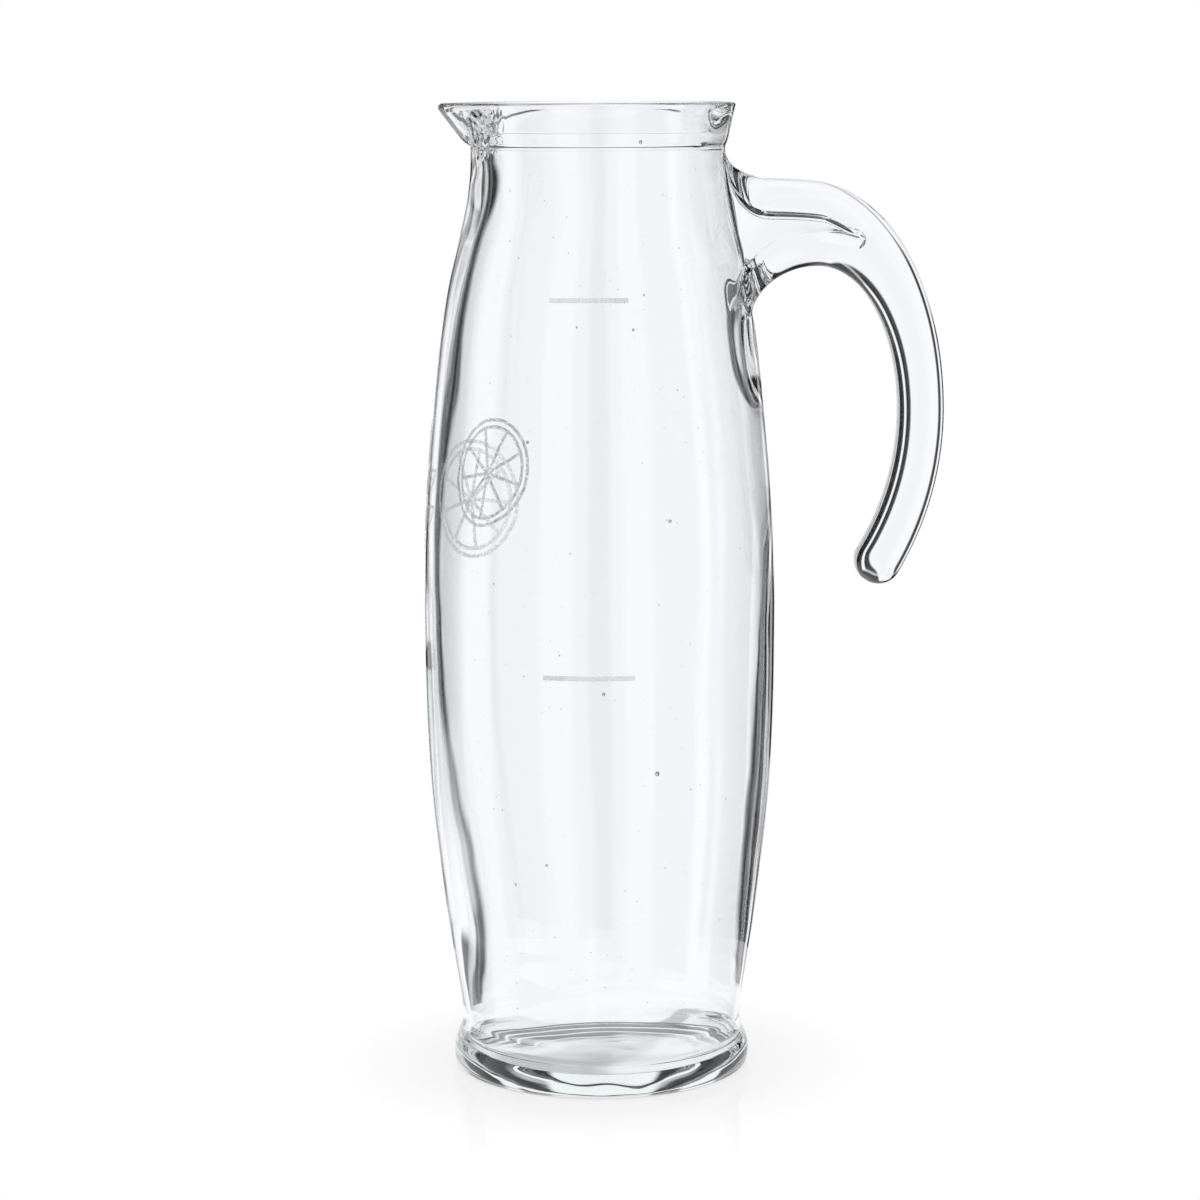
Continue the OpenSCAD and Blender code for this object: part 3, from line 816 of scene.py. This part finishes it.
def backdrop_group():
    """Brightness of the studio in a direction: a node group with a vector in and a tone out. On
    the floor it gives the painted reflection of the panels and the painted shade between them.
    """
    tree = bpy.data.node_groups.new("studio_backdrop", "ShaderNodeTree")
    tree.interface.new_socket("Direction", in_out="INPUT", socket_type="NodeSocketVector")
    tree.interface.new_socket("Apex", in_out="INPUT", socket_type="NodeSocketFloat")
    tree.interface.new_socket("Dark", in_out="INPUT", socket_type="NodeSocketFloat")
    tree.interface.new_socket("Tone", in_out="OUTPUT", socket_type="NodeSocketFloat")
    start = tree.nodes.new("NodeGroupInput")
    end = tree.nodes.new("NodeGroupOutput")
    unit = node(tree, "ShaderNodeVectorMath", operation="NORMALIZE")
    tree.links.new(start.outputs["Direction"], unit.inputs[0])
    split = node(tree, "ShaderNodeSeparateXYZ")
    tree.links.new(unit.outputs["Vector"], split.inputs[0])
    elevation = math_node(tree, "ARCSINE", split.outputs[2])
    elevation = math_node(tree, "MULTIPLY", elevation, 180 / math.pi)

    def between(value, low, high, soft):
        rise = node(tree, "ShaderNodeMapRange", {
            "From Min": low - soft, "From Max": low + soft,
        }, interpolation_type="SMOOTHSTEP")
        fall = node(tree, "ShaderNodeMapRange", {
            "From Min": high - soft, "From Max": high + soft, "To Min": 1.0, "To Max": 0.0,
        }, interpolation_type="SMOOTHSTEP")
        tree.links.new(value, rise.inputs["Value"])
        tree.links.new(value, fall.inputs["Value"])
        return math_node(tree, "MULTIPLY", rise.outputs["Result"], fall.outputs["Result"])

    def blend(a, b, share):
        n = node(tree, "ShaderNodeMix", data_type="FLOAT")
        tree.links.new(share, n.inputs["Factor"])
        for key, v in (("A", a), ("B", b)):
            if isinstance(v, (int, float)):
                n.inputs[key].default_value = v
            else:
                tree.links.new(v, n.inputs[key])
        return n.outputs["Result"]

    tone = start.outputs["Dark"]
    for centre, falling, growing, low, high, soft, bright, place in PANELS:
        # On the floor, whose panels are a painted reflection, a panel shows as a wedge, with its
        # tip moved past the axis by the apex
        aim = (math.cos(math.radians(centre)), math.sin(math.radians(centre)), 0)
        back = node(tree, "ShaderNodeVectorMath", operation="SCALE")
        back.inputs[0].default_value = aim
        tree.links.new(start.outputs["Apex"], back.inputs["Scale"])
        whole = node(tree, "ShaderNodeVectorMath", operation="ADD")
        tree.links.new(start.outputs["Direction"], whole.inputs[0])
        tree.links.new(back.outputs["Vector"], whole.inputs[1])
        split = node(tree, "ShaderNodeSeparateXYZ")
        tree.links.new(whole.outputs["Vector"], split.inputs[0])
        azimuth = math_node(tree, "ARCTAN2", split.outputs[1], split.outputs[0])
        azimuth = math_node(tree, "MULTIPLY", azimuth, 180 / math.pi)
        wrapped = node(tree, "ShaderNodeMath", operation="WRAP")
        tree.links.new(math_node(tree, "SUBTRACT", azimuth, float(centre)), wrapped.inputs[0])
        wrapped.inputs[1].default_value = 180.0
        wrapped.inputs[2].default_value = -180.0
        inside = between(wrapped.outputs[0], -falling, growing, soft)
        inside = math_node(tree, "MULTIPLY", inside, between(elevation, low, high, ELEVATION_SOFT))
        if place != "both":
            compare = "LESS_THAN" if place == "away" else "GREATER_THAN"
            here = math_node(tree, compare, start.outputs["Apex"], 0.001)
            inside = math_node(tree, "MULTIPLY", inside, here)
        tone = blend(tone, bright, inside)
    overhead = between(elevation, CEILING_LOW, 999, CEILING_SOFT)
    tone = blend(tone, CEILING_TONE, overhead)
    tree.links.new(tone, end.inputs["Tone"])
    return tree


def seen_through(tree):
    """1 for rays that reach a surface by way of glass or gloss."""
    path = node(tree, "ShaderNodeLightPath").outputs
    return math_node(tree, "MAXIMUM", path["Is Glossy Ray"], path["Is Transmission Ray"])


STUDIO_TINT = (0.975, 0.987, 1.015, 1)


def build_world(group):
    world = bpy.data.worlds.new("studio")
    SCENE.world = world
    world.use_nodes = True
    tree = world.node_tree
    tree.nodes.clear()
    out = node(tree, "ShaderNodeOutputWorld")
    plain = node(tree, "ShaderNodeBackground", {"Color": (1, 1, 1, 1), "Strength": 1.0})
    glass_view = node(tree, "ShaderNodeBackground", {"Color": STUDIO_TINT})
    coords = node(tree, "ShaderNodeTexCoord")
    drop = node(tree, "ShaderNodeGroup")
    drop.node_tree = group
    drop.inputs["Apex"].default_value = 0.0
    drop.inputs["Dark"].default_value = DARK_TONE
    tree.links.new(coords.outputs["Generated"], drop.inputs["Direction"])
    tree.links.new(drop.outputs["Tone"], glass_view.inputs["Strength"])
    choose = node(tree, "ShaderNodeMixShader")
    tree.links.new(seen_through(tree), choose.inputs["Fac"])
    tree.links.new(plain.outputs[0], choose.inputs[1])
    tree.links.new(glass_view.outputs[0], choose.inputs[2])
    tree.links.new(choose.outputs[0], out.inputs["Surface"])


# The floor, in metres: its radius, and where its glow starts and ends to brighten, which leaves a
# painted shade round the foot
FLOOR_R = 0.12
FLOOR_SHADE_FADE = (0.05, 0.115)
# How far from the axis the tips of the wedges lie, how dark the painted shade on the floor is
# between them near the foot, and where that has turned pale
FLOOR_APEX, FLOOR_PAINTED_SHADE, FLOOR_PALE_R = 0.06, 0.6, 0.112


def build_floor(group):
    bm = bmesh.new()
    bmesh.ops.create_circle(bm, cap_ends=True, segments=128, radius=FLOOR_R)
    mesh = bpy.data.meshes.new("studio_floor")
    bm.to_mesh(mesh)
    bm.free()
    floor = link("studio_floor", mesh)
    floor.location.z = -0.0002
    mat, tree = material("pale_floor")
    out = node(tree, "ShaderNodeOutputMaterial")
    where = node(tree, "ShaderNodeNewGeometry")
    base = node(tree, "ShaderNodeBsdfDiffuse", {"Color": (0.35, 0.35, 0.35, 1)})
    lift = node(tree, "ShaderNodeEmission", {"Color": (1, 1, 1, 1)})
    # The floor glows less near the object, a painted shade round the foot over its real shadow,
    # and brightens outwards until it is as light as the studio behind it
    away = node(tree, "ShaderNodeVectorMath", operation="LENGTH")
    tree.links.new(where.outputs["Position"], away.inputs[0])
    fade = node(tree, "ShaderNodeMapRange", {
        "From Min": FLOOR_SHADE_FADE[0], "From Max": FLOOR_SHADE_FADE[1], "To Min": 0.67, "To Max": 0.78,
    })
    tree.links.new(away.outputs["Value"], fade.inputs["Value"])
    tree.links.new(fade.outputs["Result"], lift.inputs["Strength"])
    matt = node(tree, "ShaderNodeAddShader")
    tree.links.new(base.outputs[0], matt.inputs[0])
    tree.links.new(lift.outputs[0], matt.inputs[1])
    gloss = node(tree, "ShaderNodeBsdfGlossy", {"Color": (1, 1, 1, 1), "Roughness": 0.05})
    shine = node(tree, "ShaderNodeMixShader", {"Fac": 0.05})
    tree.links.new(matt.outputs[0], shine.inputs[1])
    tree.links.new(gloss.outputs[0], shine.inputs[2])
    # Rays by way of the glass and the gloss see the floor with a painted reflection of the
    # studio's panels as wedges, and painted shade between them, darkest near the foot
    flat = node(tree, "ShaderNodeVectorMath", {1: (1, 1, 0)}, operation="MULTIPLY")
    tree.links.new(where.outputs["Position"], flat.inputs[0])
    drop = node(tree, "ShaderNodeGroup")
    drop.node_tree = group
    drop.inputs["Apex"].default_value = FLOOR_APEX
    pale = node(tree, "ShaderNodeMapRange", {
        "From Min": FLOOR_APEX, "From Max": FLOOR_PALE_R, "To Min": FLOOR_PAINTED_SHADE, "To Max": 1.0,
    })
    tree.links.new(away.outputs["Value"], pale.inputs["Value"])
    tree.links.new(pale.outputs["Result"], drop.inputs["Dark"])
    tree.links.new(flat.outputs["Vector"], drop.inputs["Direction"])
    through = node(tree, "ShaderNodeEmission", {"Color": STUDIO_TINT})
    tree.links.new(drop.outputs["Tone"], through.inputs["Strength"])
    choose = node(tree, "ShaderNodeMixShader")
    tree.links.new(seen_through(tree), choose.inputs["Fac"])
    tree.links.new(shine.outputs[0], choose.inputs[1])
    tree.links.new(through.outputs[0], choose.inputs[2])
    tree.links.new(choose.outputs[0], out.inputs["Surface"])
    mesh.materials.append(mat)


# Camera: metres from the object and up, degrees, and focal length in pixels of a 1200 px picture
CAMERA_AWAY, CAMERA_UP = 0.9136, 0.2619
CAMERA_TILT, CAMERA_ROLL = 8.57, -0.24
FOCAL_PX = 3510.0


def build_camera():
    data = bpy.data.cameras.new("camera")
    data.sensor_width = 36.0
    data.lens = FOCAL_PX / 1200 * 36.0
    cam = bpy.data.objects.new("camera", data)
    SCENE.collection.objects.link(cam)
    cam.location = (0.00013, -CAMERA_AWAY, CAMERA_UP)
    look = Vector((0, math.cos(math.radians(CAMERA_TILT)), -math.sin(math.radians(CAMERA_TILT))))
    turned = look.to_track_quat("-Z", "Y")
    cam.rotation_mode = "QUATERNION"
    cam.rotation_quaternion = turned @ Quaternion((0, 0, 1), math.radians(CAMERA_ROLL))
    SCENE.camera = cam


# Build
build_camera()
group = backdrop_group()
build_world(group)
build_floor(group)

floor_middle = (0, 0, FLOOR_T + FLOOR_DOME)
body_mesh = grid_mesh("pitcher_glass", body_grid(), (0, 0, PUSH_UP), floor_middle)
body = link("pitcher_glass", body_mesh)
handle = link("handle_blank", grid_mesh("handle_blank", *handle_grid()))
core = link("core", grid_mesh("core", *envelope_grid(1.1)))
for side in (-1, 1):
    pocket = link("pocket", grid_mesh("pocket", *pocket_grid(side)))
    combine(handle, pocket, "DIFFERENCE")
combine(handle, core, "DIFFERENCE")
combine(body, handle, "UNION")
soften_weld(body.data)
rng = np.random.default_rng(7)
body.data = join_meshes("pitcher_glass", body.data, bubble_mesh(rng))
body.data.shade_smooth()
body.data.set_sharp_from_angle(angle=math.radians(38))
body.data.materials.clear()
body.data.materials.append(glass_material())
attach(body, "root")
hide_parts("glass_body", "handle")

line_ink = ink_material("fill_line_ink", (0.75, 0.76, 0.77), 0.55, 1500.0, 0.25)
print_ink = ink_material("fruit_print_ink", (0.7, 0.71, 0.72), 0.35, 2200.0, 1.0)
inks = {"upper_fill_line": line_ink, "lower_fill_line": line_ink, "fruit_print": print_ink}
for name, ink in inks.items():
    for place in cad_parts[name].material_slots:
        place.material = ink

SCENE.view_settings.view_transform = "Standard"
# Light runs a long way inside the thick foot before it gets out again
SCENE.cycles.max_bounces = 40
SCENE.cycles.transmission_bounces = 40
SCENE.cycles.glossy_bounces = 40
